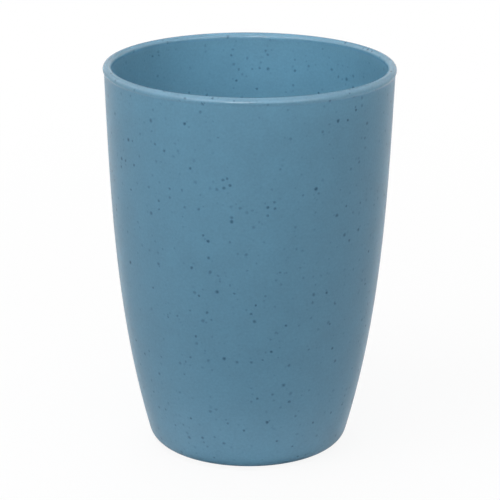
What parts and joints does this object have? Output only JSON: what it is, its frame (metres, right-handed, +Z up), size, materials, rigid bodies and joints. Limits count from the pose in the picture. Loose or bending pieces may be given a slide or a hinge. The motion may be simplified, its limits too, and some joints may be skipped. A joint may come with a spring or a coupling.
{
  "type": "tall tumbler",
  "caption": "Tall round plastic tumbler for a washstand: a thin wall that narrows in a soft curve to a rounded foot, with a round bead at the mouth.",
  "frame": {"origin": "middle of the foot ring's standing face", "axes": "+Z up along the turning axis, towards the mouth; X and Y are alike, because the tumbler is round"},
  "size_m": [0.085, 0.085, 0.115],
  "materials": {
    "speckled_plastic": "satin grey-blue plastic with scattered fine dark specks moulded in"
  },
  "bodies": {
    "root": {"tumbler": "speckled_plastic"}
  },
  "joints": []
}
